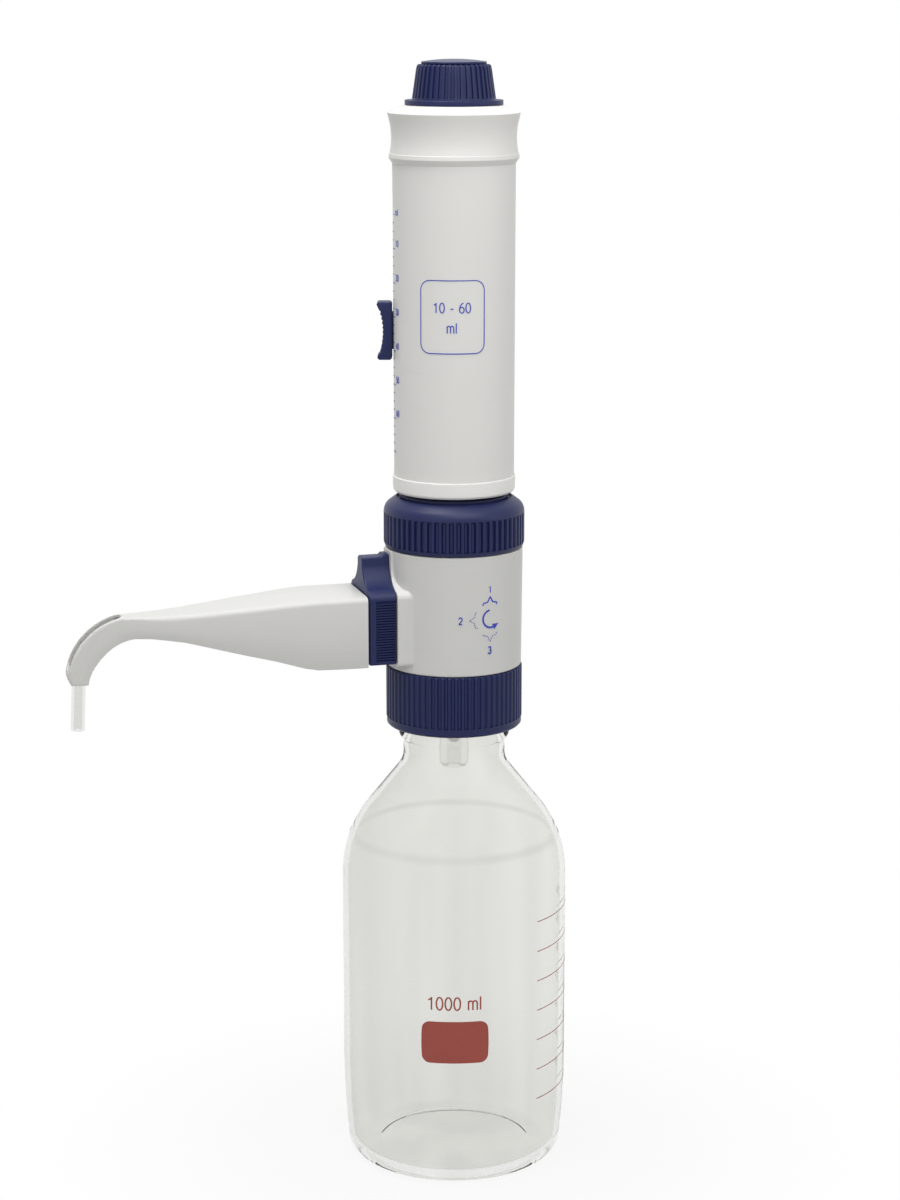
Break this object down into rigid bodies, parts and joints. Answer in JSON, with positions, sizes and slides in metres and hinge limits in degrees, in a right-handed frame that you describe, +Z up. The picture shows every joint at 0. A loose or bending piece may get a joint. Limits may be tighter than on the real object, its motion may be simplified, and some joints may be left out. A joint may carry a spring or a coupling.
{
  "type": "bottle-top dispenser",
  "caption": "Bottle-top dispenser on a glass bottle: lifting piston housing with volume slider, three-way selector knob, spout and knurled collars.",
  "frame": {"origin": "centre of the bottle's foot ring, on the surface that the bottle stands on", "axes": "+Z up along the bottle's axis, -X along the spout towards its nozzle, +Y completes the right-handed frame and points away from the picture's camera"},
  "size_m": [0.2233, 0.101, 0.4946],
  "materials": {
    "glass": "clear polished",
    "clear_plastic": "translucent",
    "white_plastic": "satin",
    "blue_plastic": "satin",
    "pale_blue": "satin",
    "seal": "matte",
    "metal": "polished"
  },
  "bodies": {
    "bottle": {"bottle": "glass"},
    "neck_seal": {"neck_seal": "seal"},
    "valve_head": {"valve_block": "white_plastic", "valve_shell": "white_plastic", "filling_valve": "white_plastic", "discharge_spigot": "white_plastic", "discharge_seat": "metal", "spout_base": "white_plastic", "spout_cover": "white_plastic", "discharge_tube": "clear_plastic", "glass_cylinder": "glass", "cylinder_seal": "seal", "guard_foot": "white_plastic", "cylinder_guard": "white_plastic", "stop_ring": "white_plastic"},
    "bottle_collar": {"bottle_collar": "blue_plastic"},
    "clamp_collar": {"clamp_collar": "blue_plastic"},
    "selector": {"selector_knob": "blue_plastic", "valve_plug": "white_plastic", "plug_seals": "seal"},
    "filling_ball": {"filling_ball": "metal"},
    "discharge_ball": {"discharge_ball": "metal"},
    "plunger": {"piston_crown": "white_plastic", "piston_rod": "white_plastic", "housing_tube": "white_plastic", "guide_ring": "white_plastic", "housing_cap": "white_plastic", "rod_nut": "metal"},
    "volume_slider": {"volume_slider": "blue_plastic", "slider_shoe": "white_plastic"},
    "top_knob": {"top_knob": "blue_plastic", "knob_disc": "pale_blue"}
  },
  "joints": [
    {"name": "lift_off", "type": "slide", "parent": "bottle", "child": "neck_seal", "axis": [0, 0, 1], "range_m": [0, 0.06]},
    {"name": "swivel", "type": "hinge", "parent": "neck_seal", "child": "valve_head", "pos_m": [0, 0, 0.2265], "axis": [0, 0, 1], "continuous": true},
    {"name": "bottle_collar_turn", "type": "hinge", "parent": "valve_head", "child": "bottle_collar", "pos_m": [0, 0, 0.216], "axis": [0, 0, 1], "continuous": true},
    {"name": "clamp_collar_turn", "type": "hinge", "parent": "valve_head", "child": "clamp_collar", "pos_m": [0, 0, 0.292], "axis": [0, 0, 1], "continuous": true},
    {"name": "selector_turn", "type": "hinge", "parent": "valve_head", "child": "selector", "pos_m": [-0.03, 0, 0.251], "axis": [-1, 0, 0], "range_deg": [0, 180]},
    {"name": "filling_ball_lift", "type": "slide", "parent": "valve_head", "child": "filling_ball", "axis": [0, 0, 1], "range_m": [0, 0.002]},
    {"name": "discharge_ball_open", "type": "slide", "parent": "valve_head", "child": "discharge_ball", "axis": [-1, 0, 0], "range_m": [0, 0.0015], "stiffness_N_per_m": 20},
    {"name": "dose_lift", "type": "slide", "parent": "valve_head", "child": "plunger", "axis": [0, 0, 1], "range_m": [0, 0.104]},
    {"name": "volume_slide", "type": "slide", "parent": "plunger", "child": "volume_slider", "axis": [0, 0, 1], "range_m": [-0.051, 0.0505]},
    {"name": "top_knob_turn", "type": "hinge", "parent": "plunger", "child": "top_knob", "pos_m": [0, 0, 0.484], "axis": [0, 0, 1], "continuous": true}
  ]
}
